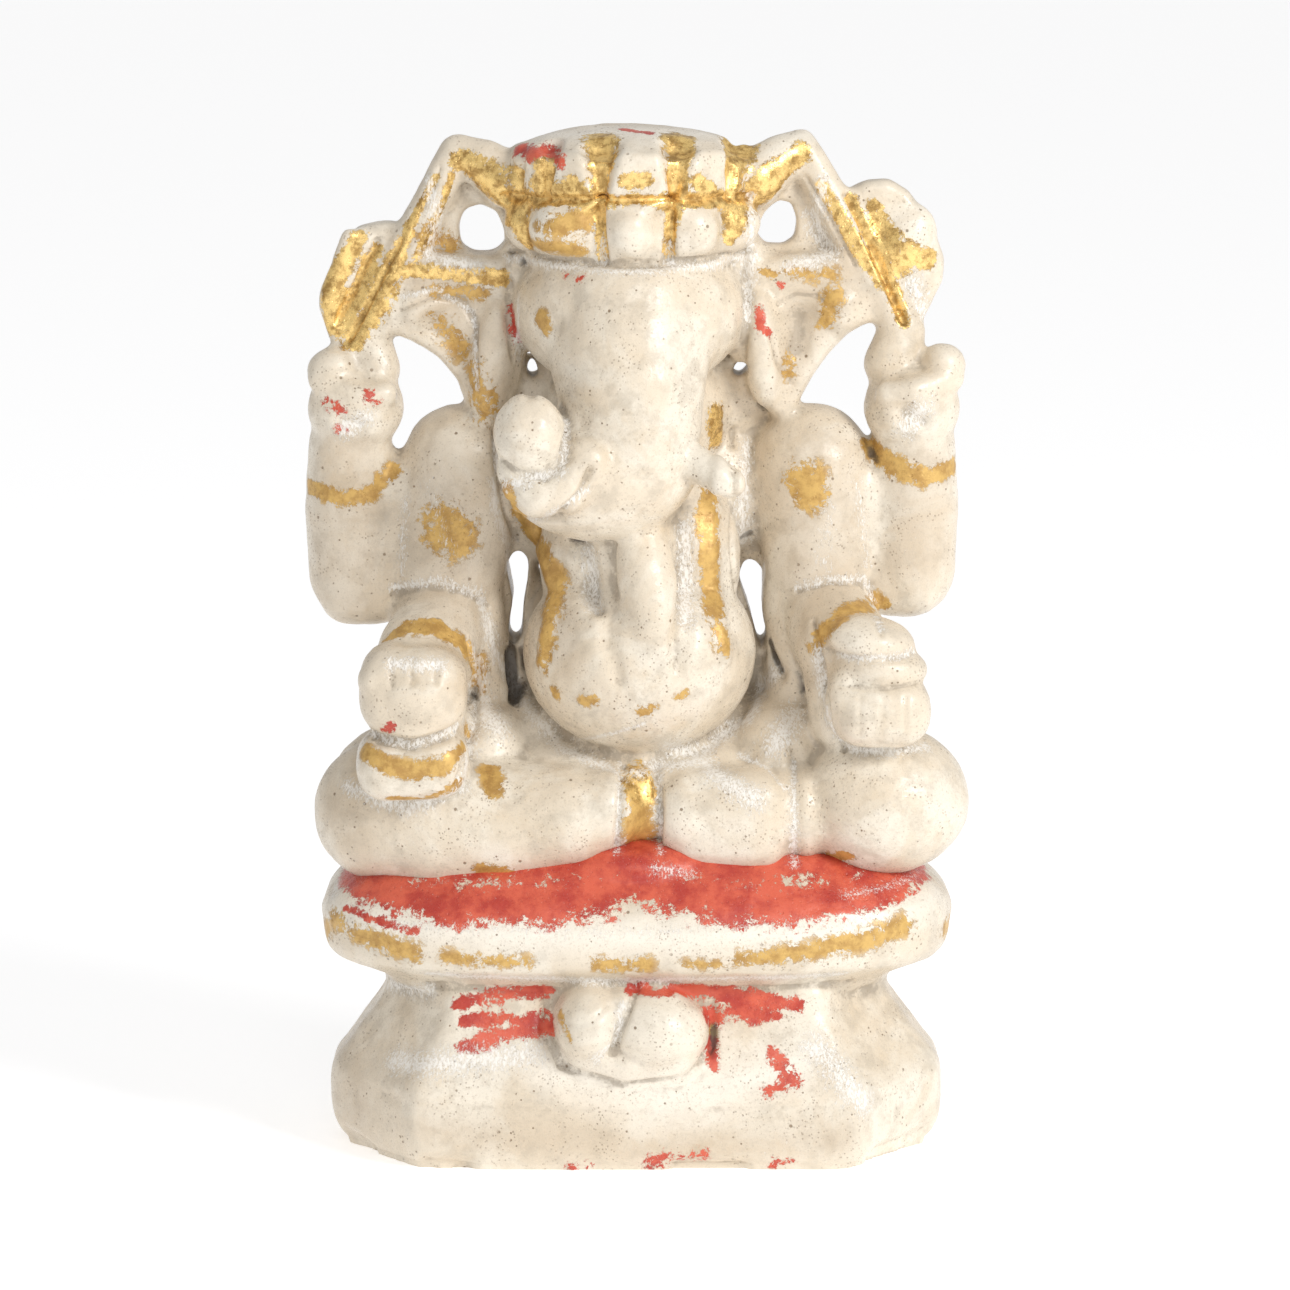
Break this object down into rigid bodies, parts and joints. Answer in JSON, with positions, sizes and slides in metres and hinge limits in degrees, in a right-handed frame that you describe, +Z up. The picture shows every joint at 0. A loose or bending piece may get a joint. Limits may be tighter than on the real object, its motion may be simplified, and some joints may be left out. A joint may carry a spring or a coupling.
{
  "type": "ganesha idol",
  "caption": "Seated Ganesha carved in pale alabaster on a lotus seat and a chamfered base, with worn gold leaf and red paint.",
  "frame": {"origin": "middle of the base's flat underside", "axes": "+Z up through the crown, -Y the way the figure faces, +X towards the figure's own left"},
  "size_m": [0.1915, 0.109, 0.3],
  "materials": {
    "alabaster": "hand-rubbed satin",
    "gilded_alabaster": "worn gold leaf over stone",
    "red_painted_alabaster": "chipped vermilion paint over stone"
  },
  "bodies": {
    "root": {"base_block": "alabaster", "lotus_seat": "red_painted_alabaster", "mouse_body": "alabaster", "mouse_head": "alabaster", "hips": "alabaster", "torso": "alabaster", "belly": "alabaster", "right_leg": "alabaster", "left_leg": "alabaster", "left_foot": "alabaster", "waist_sash": "gilded_alabaster", "right_shawl_band": "gilded_alabaster", "left_shawl_band": "gilded_alabaster", "sacred_thread": "alabaster", "right_bracelet": "gilded_alabaster", "left_bracelet": "gilded_alabaster", "right_upper_arm": "alabaster", "left_upper_arm": "alabaster", "right_front_forearm": "alabaster", "left_front_forearm": "alabaster", "right_front_hand": "alabaster", "left_front_hand": "alabaster", "modak": "alabaster", "right_raised_forearm": "alabaster", "left_raised_forearm": "alabaster", "right_raised_hand": "alabaster", "left_raised_hand": "alabaster", "axe_handle": "alabaster", "axe_blade": "gilded_alabaster", "goad_handle": "alabaster", "goad_blade": "gilded_alabaster", "head": "alabaster", "trunk": "alabaster", "trunk_curl": "alabaster", "left_tusk": "alabaster", "right_ear": "alabaster", "left_ear": "alabaster", "crown_band": "gilded_alabaster", "crown_petals": "gilded_alabaster", "crown_cap": "alabaster", "right_ribbon": "gilded_alabaster", "left_ribbon": "gilded_alabaster"}
  },
  "joints": []
}
